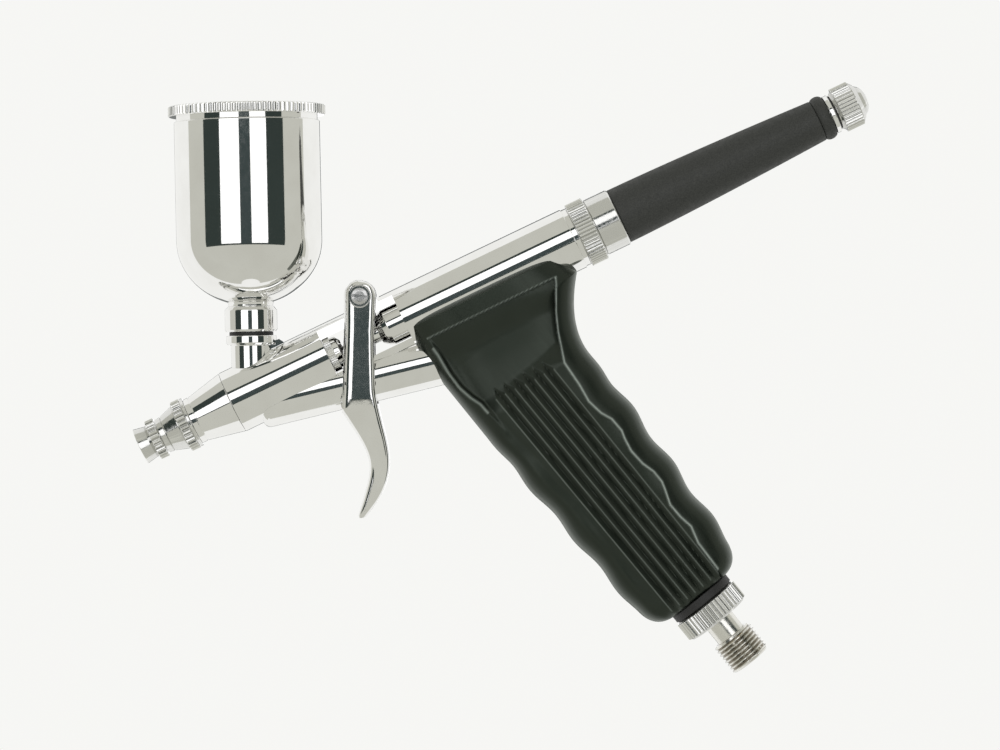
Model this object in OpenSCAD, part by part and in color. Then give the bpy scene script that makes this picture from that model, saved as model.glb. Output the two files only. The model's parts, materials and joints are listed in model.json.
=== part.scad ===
// Trigger-type airbrush gun with a gravity cup, a pistol grip and a needle adjuster.
// Lengths are in millimetres. +Z is up and the cup stands plumb. The origin is the
// centre of the air inlet's end face, the nose points to -X and the plane y = 0 is
// the plane of symmetry.

/* [Pose of the gun] */
// Angle of the barrel to the horizontal, which stands the cup upright
barrel_tilt = 25; // [20:0.5:30]
// Angle between the grip's axis and the square to the barrel
grip_rake = 13.3; // [10:0.1:16]
// Distance of the air inlet's end from the nose, along the barrel
inlet_back = 102.3; // [100:0.1:105]
// Distance of the air inlet's end below the barrel's axis
inlet_drop = 102.2; // [100:0.1:105]

/* [Barrel] */
// Radius of the barrel
barrel_r = 7.15; // [7:0.05:7.3]
// Where the barrel begins behind the nose
barrel_start = 22.9; // [22.8:0.1:23.1]
// Where the barrel ends behind the nose
barrel_end = 108.4; // [108.3:0.1:108.5]
// Radius of the bore that the needle guide slides in
guide_bore_r = 4.15; // [4.15:0.01:4.2]
// Front end of the trigger window
window_start = 46.7; // [46:0.1:47]
// Rear end of the trigger window
window_end = 65.3; // [64.5:0.1:65.5]
// Top of the trigger window above the barrel's axis
window_top = 4.1; // [4:0.05:4.4]
// Bottom of the trigger window below the barrel's axis
window_bottom = 4.4; // [4.3:0.05:4.5]

/* [Cup] */
// Cup's foot behind the nose
cup_at = 27.6; // [27.2:0.1:27.8]
// Distance of the cup's foot below the barrel's axis
cup_drop = 0.4; // [0.2:0.1:0.5]
// Angle between the cup's axis and the square to the barrel
cup_rake = 24.5; // [23:0.5:26]
// Outer radius of the cup
cup_r = 16.3; // [15:0.1:17]
// Wall thickness of the cup
cup_wall = 0.85; // [0.7:0.05:1]
// Height of the cup's rim above its foot
cup_rim = 61; // [58:0.5:66]
// Height where the bowl becomes straight
bowl_top = 34.6; // [33:0.1:36]
// Depth of the rounded bowl
bowl_depth = 14.7; // [14:0.1:14.8]
// Radius of the knurled lid
lid_r = 17.6; // [17:0.1:19]
// Number of knurls around the lid
lid_knurls = 96; // [60:1:110]

/* [Trigger] */
// Pivot behind the nose
pivot_back = 58.8; // [58.5:0.1:59]
// Pivot above the barrel's axis
pivot_up = 8.85; // [8.7:0.05:9]
// Radius of the trigger's ears
ear_r = 3.5; // [3.3:0.1:3.8]
// Inner distance between the two legs of the trigger
fork_gap = 8.9; // [8.9:0.1:9.2]
// Thickness of one leg
leg_t = 2.85; // [2.8:0.05:3]
// Full pull of the trigger, in degrees
trigger_pull = 14; // [10:1:14]

/* [Air valve] */
// Angle of the air tube below the barrel
tube_drop = 12; // [11:0.5:13]
// Radius of the air tube
tube_r = 5.5; // [5.3:0.1:5.7]
// Bore of the air tube
tube_bore_r = 2.9; // [2.8:0.1:3]
// Distance of the air tube's axis from the trigger's pivot
tube_from_pivot = 18.07; // [17.9:0.01:18.2]

/* [Grip] */
// Half thickness of the grip at the palm
palm_half = 11; // [10:0.5:12.5]
// Depth of the finger waves
wave_depth = 0.5; // [0.2:0.1:0.8]
// Pitch of the finger waves
wave_pitch = 15; // [14.5:0.1:15.5]
// Height of the grip's top edge below the barrel's axis
grip_top_drop = 2.5; // [2:0.1:3.5]

/* [Handle] */
// Radius of the handle's front end
handle_front_r = 6.35; // [6.2:0.05:6.5]
// Radius of the handle's thin end
handle_back_r = 4.69; // [4.6:0.05:4.9]
// Radius of the adjuster knob
knob_r = 5.2; // [5:0.05:5.6]

/* [Air inlet] */
// Radius over the inlet thread, a G1/8 pipe thread
inlet_r = 4.864; // [4.86:0.001:4.87]
// Length of the inlet thread
inlet_len = 7.2; // [6.5:0.1:7.3]

/* [Hidden] */
$fn = 64;
running = 0.05;                       // radial clearance of a sliding or turning fit
seat = 0.02;                          // clearance of pieces that are screwed or pressed together
needle_r = 0.65;
needle_tail = 148.4;
guide_front = 56.25;
pusher_r = 2.4;
pusher_at = [-1, -10];                // in the trigger's own frame, from the pivot
valve_pin_r = 0.9;
valve_pin_at = [-2.7, -19.28];        // in the trigger's own frame, on the air tube's axis
pin_path_r = valve_pin_r + 0.4;       // half width of the slot that the valve pin travels in
blind_end = 0.7;                      // metal left behind the blind ends of the two pins
boss_half = fork_gap / 2 - 0.3;       // half width of the pivot's boss and of the barrel's milled flats
fork_outer = fork_gap / 2 + leg_t;    // half width over the trigger's legs
tube_gap_half = tube_r + 0.3;         // half width and half height of the trigger's room for the air tube
tube_gap_from = 14;                   // distance from the pivot where that room begins
screw_head_r = 1.9;
cup_nut_r = 5.85;
cup_tube_r = 3.2;
stem_r = 4.6;
stem_foot = 4.6;                      // height of the stem's lower end above the barrel's axis
flange_r = 5.6;
flange_low = 11.15;
flange_high = 13.2;
passage_r = 2;
tube_front = -27.6;                   // ends of the air tube, from the foot of the pivot's perpendicular
tube_back = 32;
stop_r = 2;
pipe_r = 4;
clamp_r = 4.5;                        // threaded lower end of the air pipe
washer_low = 16.9;                    // heights along the grip's axis, above the inlet's end
grip_low = 18.8;
nut_low = 11.7;
grip_high = 108;

// ---- frames -----------------------------------------------------------------

// The barrel's frame: x runs from the nose to the tail, z is square to the barrel.
module gun_frame() {
    rotate([0, -barrel_tilt, 0]) translate([-inlet_back, 0, inlet_drop]) children();
}

// The cup's frame: z runs up the cup's axis from its foot.
module cup_frame() {
    gun_frame() translate([cup_at, 0, -cup_drop]) rotate([0, cup_rake, 0]) children();
}

// The trigger's frame at its pivot: z runs up its legs.
module trigger_frame() {
    gun_frame() translate([pivot_back, 0, pivot_up]) rotate([0, barrel_tilt, 0]) children();
}

// The air tube's frame: z runs along the tube to the grip.
module tube_frame() {
    foot = [pivot_back - tube_from_pivot * sin(tube_drop), 0, pivot_up - tube_from_pivot * cos(tube_drop)];
    gun_frame() translate(foot) rotate([0, 90 + tube_drop, 0]) children();
}

// The grip's frame: z runs up the grip from the inlet's end, x points to the back.
module grip_frame() {
    rotate([0, -barrel_tilt - grip_rake, 0]) children();
}

// ---- shapes that repeat -----------------------------------------------------

// Turned piece about the barrel's axis, from a list of [distance, radius].
module barrel_turned(outline) {
    gun_frame() rotate([0, 90, 0]) turned(outline);
}

// Turned piece about z, from a list of [height, radius].
module turned(outline) {
    rotate_extrude() polygon([for (p = outline) [p[1], p[0]]]);
}

// Closed outline of a bush: outer steps, then back along one bore.
function bush(low, high, outer, bore) = [[low, bore], [low, outer], [high, outer], [high, bore]];

// Straight knurled ring about z.
module knurl(low, high, r, teeth, depth) {
    steps = [for (i = [0 : 2 * teeth - 1]) i];
    translate([0, 0, low]) linear_extrude(high - low)
        polygon([for (i = steps) (r - (i % 2) * depth) * [cos(180 * i / teeth), sin(180 * i / teeth)]]);
}

// Straight knurled ring about the barrel's axis.
module barrel_knurl(low, high, r, teeth, depth) {
    gun_frame() rotate([0, 90, 0]) knurl(low, high, r, teeth, depth);
}

// Cylinder along the barrel's axis.
module barrel_bore(low, high, r) {
    gun_frame() translate([low, 0, 0]) rotate([0, 90, 0]) cylinder(r = r, h = high - low);
}

// Cylinder along y, through a point given as [x, z].
module cross_pin(at, r, y_low, y_high) {
    translate([at[0], y_low, at[1]]) rotate([-90, 0, 0]) cylinder(r = r, h = y_high - y_low);
}

// Closed skin over rings that have the same number of points.
module loft(rings) {
    n = len(rings[0]);
    last = len(rings) - 1;
    points = [for (ring = rings) each ring];
    lower = [for (i = [0 : last - 1], j = [0 : n - 1])
        [i * n + j, i * n + (j + 1) % n, (i + 1) * n + (j + 1) % n]];
    upper = [for (i = [0 : last - 1], j = [0 : n - 1])
        [i * n + j, (i + 1) * n + (j + 1) % n, (i + 1) * n + j]];
    caps = [[for (j = [n - 1 : -1 : 0]) j], [for (j = [0 : n - 1]) last * n + j]];
    polyhedron(points = points, faces = concat(lower, upper, caps));
}

// Compression spring about z.
module coil(low, high, r, wire_r, turns) {
    steps = turns * 14;
    sides = 8;
    slope = atan((high - low - 2 * wire_r) / (turns * 360) * 180 / PI / r);
    loft([for (i = [0 : steps])
        let (a = 360 * turns * i / steps, z = low + wire_r + (high - low - 2 * wire_r) * i / steps)
        [for (k = [0 : sides - 1])
            let (u = wire_r * cos(-360 * k / sides), v = wire_r * sin(-360 * k / sides))
            [(r + u) * cos(a) + v * sin(slope) * sin(a),
             (r + u) * sin(a) - v * sin(slope) * cos(a),
             z + v * cos(slope)]]]);
}

// Cubic curve from a to d, without its first point.
function curve(a, b, c, d, steps) = [for (i = [1 : steps]) let (t = i / steps, u = 1 - t)
    u * u * u * a + 3 * u * u * t * b + 3 * u * t * t * c + t * t * t * d];

// ---- nose -------------------------------------------------------------------

module needle_cap() {
    color("silver") difference() {
        union() {
            barrel_turned([[0, 0], [0, 4.13], [2.46, 3.69], [3.3, 3.69], [3.3, 0]]);
            barrel_knurl(3.1, 5.14, 4.69, 30, 0.35);
        }
        barrel_bore(-1, 3.2, 3.1);
        barrel_bore(3, 6, 2.8 + seat);
    }
}

module nozzle_cap() {
    color("silver") difference() {
        union() {
            barrel_turned([[3.3, 0], [3.3, 2.8], [5.3, 2.8], [5.3, 3.91], [6.7, 4.13], [9.83, 5.14],
                           [10.1, 5.14], [10.1, 0]]);
            barrel_knurl(10.06, 12.1, 6.03, 36, 0.4);
            barrel_turned(bush(12.07, 12.93, 5.81, 0));
        }
        barrel_bore(3, 5, 1);
        barrel_turned([[4.6, 0], [4.6, 1], [9.5, 4.3 + seat], [13, 4.3 + seat], [13, 0]]);
    }
}

module nozzle() {
    color("goldenrod") barrel_turned([[2.9, 0.3], [2.9, 0.48], [8.6, 1.9], [9, 1.9], [9, 2.6], [9.6, 2.6],
                                      [9.6, 1.3], [13, 1.3], [13, 0.8], [8, 0.8]]);
}

module head() {
    groove = 0.12;
    color("silver") difference() {
        barrel_turned([[9.65, 0], [9.65, 4.3], [12.95, 4.3], [12.95, 5.3], [14.2, 5.3], [14.2, 5.3 - groove],
                       [14.45, 5.3 - groove], [14.45, 5.3], [22.8, 7.11], [22.8, 4], [25.2, 4], [25.2, 0]]);
        barrel_bore(9, 13.05, 1.3 + seat);
        barrel_bore(12, 26, 0.9);
    }
}

module head_seal() {
    color("white") barrel_turned(bush(25.22, 25.75, 3.9, 1));
}

// ---- barrel -----------------------------------------------------------------

// Room for the cup's stem and its flange.
module stem_space() {
    cup_frame() {
        translate([0, 0, stem_foot]) cylinder(r = stem_r + seat, h = 10);
        translate([0, 0, flange_low - seat]) cylinder(r = flange_r + seat, h = 10);
    }
}

// Slot that the valve pin sweeps as the trigger is pulled.
module pin_path(half_width) {
    reach = norm(valve_pin_at);
    start = atan2(valve_pin_at[1], valve_pin_at[0]);
    trigger_frame() {
        cross_pin(valve_pin_at, pin_path_r, -half_width, half_width);
        rotate([0, -trigger_pull, 0]) cross_pin(valve_pin_at, pin_path_r, -half_width, half_width);
        rotate([90, 0, 0]) rotate([0, 0, start]) rotate_extrude(angle = trigger_pull)
            translate([reach - pin_path_r, -half_width]) square([2 * pin_path_r, 2 * half_width]);
    }
}

module barrel() {
    lug_r = 3.1;
    gusset_half = 2.4;
    color("gainsboro") difference() {
        union() {
            barrel_turned([[barrel_start, 0], [barrel_start, barrel_r - 0.15],
                           [barrel_start + 0.15, barrel_r], [107.3, barrel_r], [107.3, 6.9],
                           [barrel_end, 6.9], [barrel_end, 0]]);
            gun_frame() {
                cross_pin([pivot_back, pivot_up], lug_r, -boss_half, boss_half);
                translate([pivot_back - lug_r, -boss_half, 4.5])
                    cube([2 * lug_r, 2 * boss_half, pivot_up - 4.5]);
                translate([0, gusset_half, 0]) rotate([90, 0, 0]) linear_extrude(2 * gusset_half)
                    polygon([[33, 6.2], [40, 6.2], [38.4, 8.9], [36, 8.9]]);
            }
        }
        barrel_bore(22, 25.8, 4 + seat);                        // seat of the head
        barrel_bore(22, 34, 1.6);                               // paint passage
        barrel_bore(33, 50, 2.4);                               // packing
        barrel_bore(55, 99, guide_bore_r);                      // needle guide
        barrel_bore(98, 110, 5.6);                              // spring case and handle collar
        cup_frame() cylinder(r = passage_r, h = 10);
        stem_space();
        gun_frame() {
            translate([window_start, -10, -window_bottom])
                cube([window_end - window_start, 20, window_top + window_bottom]);
            for (side = [0, 1]) mirror([0, side, 0])            // flats that the trigger's legs lie in
                translate([window_start, boss_half, -10]) cube([window_end - window_start, 10, 20]);
            cross_pin([pivot_back, pivot_up], 1.25, -10, 10);   // thread of the pivot screws
        }
        tube_frame() translate([0, 0, -11]) cylinder(r = tube_bore_r, h = 50);
        pin_path(9);
    }
}

// ---- cup --------------------------------------------------------------------

module cup_stem() {
    color("silver") difference() {
        cup_frame() difference() {
            union() {
                translate([0, 0, stem_foot]) cylinder(r = stem_r, h = flange_low - stem_foot + 0.1);
                turned([[flange_low, 0], [flange_low, 5.2], [flange_low + 0.4, flange_r],
                        [flange_high, flange_r], [flange_high, 0]]);
            }
            cylinder(r = passage_r, h = 20);
            translate([0, 0, 12.2]) cylinder(r = cup_tube_r + seat, h = 2);
        }
        barrel_bore(20, 40, 4.1);
    }
}

module cup_seal() {
    color("dimgray") cup_frame() turned(bush(flange_high + 0.03, 14.03, 4.9, cup_tube_r + seat));
}

module cup_nut() {
    color("silver") cup_frame() turned([[14.06, cup_tube_r + seat], [14.06, cup_nut_r - 0.2],
        [14.26, cup_nut_r], [19.2, cup_nut_r], [19.65, cup_nut_r - 0.6], [19.65, cup_tube_r + seat]]);
}

// Quarter of an ellipse from the bowl's foot to its straight wall, as [height, radius].
function bowl(a, b, r_low, steps) = let (start = asin(r_low / a))
    [for (i = [0 : steps]) let (t = start + (90 - start) * i / steps) [bowl_top - b * cos(t), a * sin(t)]];

module cup() {
    inner_r = cup_r - cup_wall;
    inner_bowl = bowl(inner_r, bowl_depth - cup_wall, passage_r, 24);
    color("gainsboro") cup_frame() turned(concat(
        [[12.25, passage_r], [12.25, cup_tube_r], [19.7, cup_tube_r], [19.7, 5], [20.3, 4.9]],
        bowl(cup_r, bowl_depth, 5.2, 24),
        [[cup_rim, cup_r], [cup_rim, inner_r]],
        [for (i = [24 : -1 : 0]) inner_bowl[i]]));
}

module cup_lid() {
    plug_r = cup_r - cup_wall - running;
    shoulder = cup_rim + seat;
    disc_low = cup_rim + 1.2;
    disc_high = disc_low + 2.3;
    vent_r = 0.75;
    color("silver") cup_frame() difference() {
        union() {
            turned([[cup_rim - 3.5, 0], [cup_rim - 3.5, plug_r], [shoulder, plug_r], [shoulder, cup_r - 0.5],
                    [disc_low + 0.1, cup_r - 0.5], [disc_low + 0.1, 0]]);
            knurl(disc_low, disc_high, lid_r, lid_knurls, 0.35);
        }
        translate([0, 0, cup_rim - 4]) cylinder(r = plug_r - 0.8, h = 4.8);
        translate([0, 0, cup_rim]) cylinder(r = vent_r, h = 6);
    }
}

// ---- needle and its drive ---------------------------------------------------

module needle_packing() {
    color("white") barrel_turned(bush(34.05, 36.5, 2.38, needle_r + running));
}

module packing_screw() {
    hole = 0.95;
    color("silver") barrel_turned([[36.55, hole], [36.55, 2.38], [46.75, 2.38], [46.75, 4], [48.9, 4],
                                   [49.6, 3.7], [50.1, 3], [50.4, 2], [50.4, hole]]);
}

module needle() {
    color("lightgray") barrel_turned([[2.2, 0], [2.25, 0.08], [14.5, needle_r], [needle_tail - 0.3, needle_r],
                                      [needle_tail, 0.35], [needle_tail, 0]]);
}

module needle_guide() {
    bore = needle_r + seat;
    color("silver") barrel_turned([[guide_front, bore], [guide_front, 1.8], [guide_front + 0.3, 2.1],
                                   [59, 2.1], [59, 2.6], [60.2, 3.6], [61.4, guide_bore_r - running],
                                   [80, guide_bore_r - running], [80, 2.2], [119, 2.2], [119, bore]]);
}

module chuck_nut() {
    color("silver") difference() {
        barrel_turned([[114, 0], [114, 3], [114.3, 3.3], [122, 3.3], [123, 2.4], [123, 0]]);
        barrel_bore(113, 119.1, 2.2 + seat);
        barrel_bore(113, 124, needle_r + seat);
    }
}

module needle_spring() {
    color("darkgray") gun_frame() rotate([0, 90, 0]) coil(80.1, 95.9, 3.1, 0.35, 7);
}

module spring_case() {
    color("silver") barrel_turned([[96, 2.3], [96, 4.1], [98.05, 4.1], [98.05, 5.58], [103.5, 5.58],
                                   [103.5, 2.3]]);
}

// ---- handle and needle adjuster ---------------------------------------------

module handle_collar() {
    color("silver") difference() {
        union() {
            barrel_turned([[103.6, 0], [103.6, 5.58], [barrel_end + 0.05, 5.58], [barrel_end + 0.05, 6.9],
                           [108.7, 6.9], [108.7, 0]]);
            barrel_knurl(108.6, 112.6, 7.5, 56, 0.25);
            barrel_turned([[112.5, 0], [112.5, 6.5], [112.9, 6.7], [118.2, 6.7], [118.45, 6.5], [118.45, 4.6],
                           [124, 4.6], [124, 0]]);
        }
        barrel_bore(103, 125, 3.8);
    }
}

// Radius of the handle: a slightly bellied taper.
function handle_radius(t) = handle_front_r + (handle_back_r - handle_front_r) * pow(t, 1.5);

module handle() {
    from = 118.5;
    to = 167.8;
    steps = 16;
    bead_r = 0.9;
    bead_at = 169.3;
    color("darkslategray") difference() {
        barrel_turned(concat(
            [[from, 0], [from, handle_front_r - 0.2]],
            [for (i = [0 : steps]) let (t = i / steps)
                [from + 0.2 + (to - from - 0.2) * t, handle_radius(t)]],
            [for (i = [0 : 8]) let (a = 180 - 22.5 * i)
                [bead_at + 1.45 * cos(a), 4.2 + bead_r * sin(a)]],
            [[170.8, 4], [170.8, 0]]));
        barrel_bore(118, 124.2, 4.6 + seat);
        barrel_bore(124, 150, 3.8);
        barrel_bore(149, 163, 2.6);
        barrel_bore(162.5, 172, 3.4);
    }
}

module handle_end() {
    color("silver") barrel_turned([[163, stop_r + running], [163, 3.38], [170.85, 3.38], [170.85, 4.47],
                                   [171.7, 4.47], [171.88, 4.3], [171.88, stop_r + running]]);
}

module knob_washer() {
    color("black") barrel_turned(bush(171.9, 172.18, 4, stop_r + running));
}

module needle_stop() {
    color("lightgray") barrel_turned([[151, 0], [151, 1.7], [151.3, stop_r], [176, stop_r], [176, 0]]);
}

module adjuster_knob() {
    color("silver") difference() {
        union() {
            barrel_turned([[172.3, 0], [172.3, 4.02], [173.1, 4.7], [173.1, 0]]);
            barrel_knurl(173, 177.2, knob_r, 36, 0.35);
            barrel_turned([[177, 0], [177, 4.9], [178.1, 3.9], [178.3, 3.5], [179, 3], [179.6, 2.1],
                           [179.9, 1], [179.9, 0]]);
        }
        barrel_bore(171, 176.05, stop_r + running);
    }
}

// ---- trigger ----------------------------------------------------------------

// Side outline of the trigger in its own frame, as [x, z].
function trigger_outline() = concat(
    [for (i = [0 : 12]) let (a = 15 * i) ear_r * [cos(a), sin(a)] + [0, 0.15]],
    [[-3.6, -7], [-4.1, -18.4], [-4.4, -25.4]],
    curve([-4.4, -25.4], [3.5, -37.4], [2.8, -36.4], [-1, -48.8], 16),
    [[-0.9, -49.3], [-0.4, -49.5], [0.5, -49.2]],
    curve([0.5, -49.2], [10.3, -38.6], [4.4, -32], [3.2, -21], 16));

// Half width of the trigger, seen from the front, as [y, z].
function trigger_front() =
    [[fork_outer, 5], [fork_outer, -24], [5.2, -32], [5, -36], [4.8, -46], [4.2, -48.4], [3, -50],
     [-3, -50], [-4.2, -48.4], [-4.8, -46], [-5, -36], [-5.2, -32], [-fork_outer, -24], [-fork_outer, 5]];

// Room for the air tube between the legs, over the whole pull.
module tube_room() {
    low = tube_from_pivot + tube_gap_half;
    at_rest = barrel_tilt - tube_drop;
    translate([0, tube_gap_half, 0]) rotate([90, 0, 0]) linear_extrude(2 * tube_gap_half)
        for (angle = [at_rest, at_rest - trigger_pull])
            rotate(angle) translate([-20, -low]) square([40, low - tube_gap_from]);
}

module trigger() {
    head_depth = 0.8;
    pin_end = blind_end - fork_outer;
    color("silver") trigger_frame() difference() {
        intersection() {
            translate([0, fork_outer, 0]) rotate([90, 0, 0]) linear_extrude(2 * fork_outer)
                polygon(trigger_outline());
            rotate([90, 0, 90]) translate([0, 0, -10]) linear_extrude(20) polygon(trigger_front());
        }
        cross_pin([0, 0], tube_gap_from + 2, -fork_gap / 2, fork_gap / 2);
        tube_room();
        cross_pin([0, 0], 1.5 + running, -10, 10);
        for (side = [0, 1]) mirror([0, side, 0]) cross_pin([0, 0], 2.25, fork_outer - head_depth, 10);
        cross_pin(pusher_at, pusher_r, pin_end, 10);
        cross_pin(valve_pin_at, valve_pin_r, pin_end, 10);
    }
}

module pusher_pin() {
    slot_half = needle_r + 0.35;
    color("gray") trigger_frame() difference() {
        cross_pin(pusher_at, pusher_r - seat, blind_end + 0.05 - fork_outer, fork_outer);
        translate([pusher_at[0], 0, pusher_at[1]]) rotate([0, -barrel_tilt, 0])
            translate([-4, -slot_half, -1.3]) cube([8, 2 * slot_half, 6]);
    }
}

module valve_pin() {
    color("gray") trigger_frame()
        cross_pin(valve_pin_at, valve_pin_r - seat, blind_end + 0.05 - fork_outer, fork_outer);
}

module pivot_screws() {
    head_low = fork_outer - 0.7;
    slot_half = 0.3;
    color("silver") gun_frame() for (side = [0, 1]) mirror([0, side, 0]) difference() {
        union() {
            cross_pin([pivot_back, pivot_up], 1.25 - seat, 2, head_low);
            cross_pin([pivot_back, pivot_up], 1.5, boss_half, head_low);
            cross_pin([pivot_back, pivot_up], screw_head_r, head_low, fork_outer - 0.05);
        }
        translate([pivot_back, fork_outer, pivot_up]) rotate([0, barrel_tilt + 8, 0])
            translate([-3, -0.4, -slot_half]) cube([6, 1, 2 * slot_half]);
    }
}

// ---- air valve --------------------------------------------------------------

module air_tube() {
    nose_r = 1.6;
    color("gainsboro") difference() {
        tube_frame() difference() {
            turned(concat([[tube_front, 0]],
                [for (i = [0 : 6]) let (a = 15 * i)
                    [tube_front + nose_r - nose_r * cos(a), tube_r - nose_r + nose_r * sin(a)]],
                [[tube_back, tube_r], [tube_back, 0]]));
            translate([0, 0, -11]) cylinder(r = tube_bore_r, h = 50);
        }
        barrel_bore(0, 110, barrel_r + seat);
        pin_path(9);
        grip_frame() translate([0, 0, 60]) cylinder(r = passage_r, h = 34);
    }
}

module valve_guide() {
    color("goldenrod") tube_frame() turned(bush(1.7, 6.5, tube_bore_r - seat, 1.25));
}

module valve_ring() {
    color("black") tube_frame() turned(bush(6.55, 7.75, tube_bore_r - seat, 1.25));
}

module valve_seat() {
    color("goldenrod") tube_frame() turned(bush(10.2, 11.6, tube_bore_r - seat, 1.9));
}

module valve_stem() {
    front = -6;
    color("lightgray") tube_frame() turned([[front, 0], [front, 2.2], [front + 0.2, 2.4], [-3.4, 2.4],
                                            [-3.4, 1.2], [16, 1.2], [16, 0]]);
}

module valve_poppet() {
    color("black") tube_frame() turned(bush(11.62, 13, 2.5, 1.2));
}

module valve_spring() {
    color("darkgray") tube_frame() coil(13.1, 24.3, 2, 0.3, 6);
}

module valve_plug() {
    color("goldenrod") tube_frame() turned([[24.4, 1], [24.4, tube_bore_r - seat], [25, tube_bore_r - seat],
                                            [25, 1.6], [29, 1.6], [29, tube_bore_r - seat],
                                            [31.9, tube_bore_r - seat], [31.9, 0], [28.5, 0], [28.5, 1]]);
}

// ---- grip and air inlet -----------------------------------------------------

module air_pipe() {
    color("silver") difference() {
        grip_frame() difference() {
            union() {
                translate([0, 0, nut_low + 0.8]) cylinder(r = clamp_r, h = 12);
                translate([0, 0, nut_low + 12]) cylinder(r = pipe_r, h = 76);
            }
            cylinder(r = passage_r, h = 120);
            cylinder(r = 2.5 + seat, h = 20.1);
        }
        tube_frame() translate([0, 0, -30]) cylinder(r = tube_r + seat, h = 80);
        gun_frame() translate([60, -20, -15]) cube([60, 40, 60]);
    }
}

// Smooth step from 0 to 1 between a and b.
function ease(a, b, t) = let (u = min(1, max(0, (t - a) / (b - a)))) u * u * (3 - 2 * u);

// Finger waves, which fade out above the hand.
function waves(w, crest) = wave_depth * cos(360 * (w - crest) / wave_pitch) * (1 - ease(66, 76, w));

// Shrink of the outline at the rounded lower end.
function bottom_round(w) = let (t = min(1, (w - grip_low) / 5.2)) 5.4 * (1 - sqrt(1 - (1 - t) * (1 - t)));

// Distance of the grip's front and back from its axis, at the height w.
function grip_front(w) = 13.3 + 0.03 * (min(w, 74) - 30) + 0.75 * waves(w, 60.5)
    - 0.1 * max(0, w - 94) - bottom_round(w);
function grip_back(w) = 13.2 + 0.05 * (min(w, 66) - 30) + waves(w, 60.5)
    + 0.0365 * pow(min(16, max(0, w - 76)), 2) - 0.25 * max(0, w - 92) - bottom_round(w);

// Half thickness of the grip at the height w.
function grip_half(w) = palm_half - 0.9 * (1 - ease(18, 50, w)) - 1.1 * ease(60, 96, w)
    - 0.5 * bottom_round(w);

// One ring of the grip: a rounded rectangle by a superellipse.
function grip_ring(w, sides) = [for (j = [0 : sides - 1]) let (
        a = 360 * j / sides,
        front = grip_front(w), back = grip_back(w),
        c = sign(cos(a)) * pow(abs(cos(a)), 0.62),
        s = sign(sin(a)) * pow(abs(sin(a)), 0.62))
    [(back - front) / 2 + c * (back + front) / 2, s * grip_half(w), w]];

module grip() {
    step = 1.6;
    foot = [for (i = [0 : 5]) grip_low + 5.2 * (1 - cos(90 * i / 6))];
    shaft = [for (w = [grip_low + 5.2 : step : grip_high]) w];
    color([0.16, 0.17, 0.17]) difference() {
        grip_frame() difference() {
            loft([for (w = concat(foot, shaft)) grip_ring(w, 32)]);
            translate([0, 0, 10]) cylinder(r = clamp_r + 0.05, h = 14.6);
            translate([0, 0, 10]) cylinder(r = pipe_r + 0.05, h = 84);
        }
        gun_frame() translate([50, -20, -grip_top_drop]) cube([70, 40, 40]);
        barrel_bore(40, 120, barrel_r + 0.05);
        tube_frame() translate([0, 0, -30]) cylinder(r = tube_r + 0.05, h = 30 + tube_back + 0.2);
    }
}

module grip_washer() {
    color("black") grip_frame() turned(bush(washer_low, grip_low - 0.02, 7.6, clamp_r + seat));
}

module grip_nut() {
    color("silver") grip_frame() difference() {
        union() {
            knurl(nut_low + 0.5, washer_low - 0.52, 8, 44, 0.45);
            turned([[nut_low, 0], [nut_low, 7.1], [nut_low + 0.55, 7.5], [nut_low + 0.55, 0]]);
            turned([[washer_low - 0.55, 0], [washer_low - 0.55, 7.5], [washer_low - 0.02, 7.2],
                    [washer_low - 0.02, 0]]);
        }
        cylinder(r = clamp_r + seat, h = 30);
    }
}

module air_inlet() {
    neck_r = 3.46;
    spigot_r = 2.5;
    bore_r = 1.8;
    color("darkgray") grip_frame() turned([[0, 2.6], [0, inlet_r], [inlet_len, inlet_r], [inlet_len, neck_r],
        [nut_low + 0.7, neck_r], [nut_low + 0.7, spigot_r], [20, spigot_r], [20, bore_r], [1.2, bore_r]]);
}

needle_cap();
nozzle_cap();
nozzle();
head();
head_seal();
barrel();
cup_stem();
cup_seal();
cup_nut();
cup();
cup_lid();
needle_packing();
packing_screw();
needle();
needle_guide();
chuck_nut();
needle_spring();
spring_case();
handle_collar();
handle();
handle_end();
knob_washer();
needle_stop();
adjuster_knob();
trigger();
pusher_pin();
valve_pin();
pivot_screws();
air_tube();
valve_stem();
valve_poppet();
valve_guide();
valve_ring();
valve_seat();
valve_spring();
valve_plug();
air_pipe();
grip();
grip_washer();
grip_nut();
air_inlet();
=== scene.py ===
"""Looks of a trigger-type airbrush gun with a gravity cup and a pistol grip.

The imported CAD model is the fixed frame. The pieces that show are built here again with
rounded edges, knurls, threads and flutes, in millimetres in the frame of their own part
(barrel, cup, trigger, air tube or grip), and are then placed by that part's axis. Most of
the pieces inside stay as the CAD has them.
"""

import json
import math

import bmesh
import bpy
import numpy as np
from mathutils import Matrix, Vector


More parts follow.
